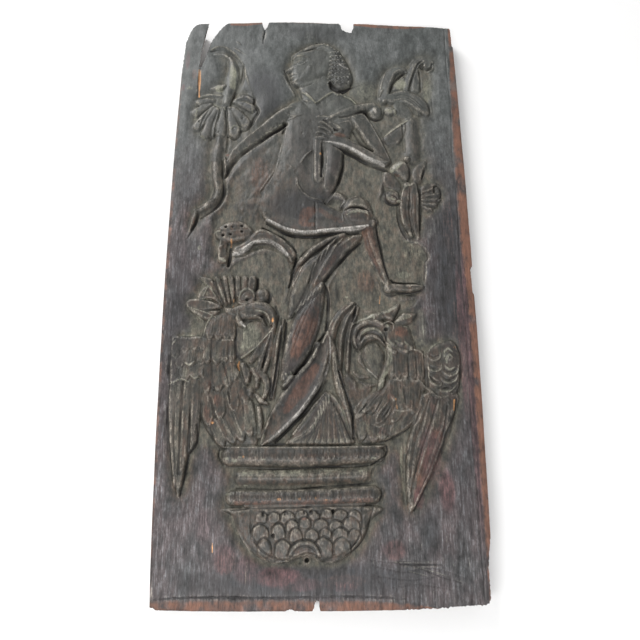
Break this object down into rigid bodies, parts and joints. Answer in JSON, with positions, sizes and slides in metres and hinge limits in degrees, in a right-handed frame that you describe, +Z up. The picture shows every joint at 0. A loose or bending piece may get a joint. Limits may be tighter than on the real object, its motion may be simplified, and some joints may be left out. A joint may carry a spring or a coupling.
{
  "type": "carved wall panel",
  "caption": "Tall dark wooden board carved in low relief with a seated woman, flowering stems, birds and a vase, for hanging flat on a wall.",
  "frame": {"origin": "centre of the board's flat back, where it lies on the wall", "axes": "+Z up the board, +X across it to the right as seen from the front, +Y into the wall; the carved face looks along -Y"},
  "size_m": [0.3004, 0.0275, 0.5971],
  "materials": {
    "dark_oak": "old dark stained oak with a dull waxed shine, dust in the ground and red-brown wear on the high places"
  },
  "bodies": {
    "root": {"carved_panel": "dark_oak"}
  },
  "joints": []
}
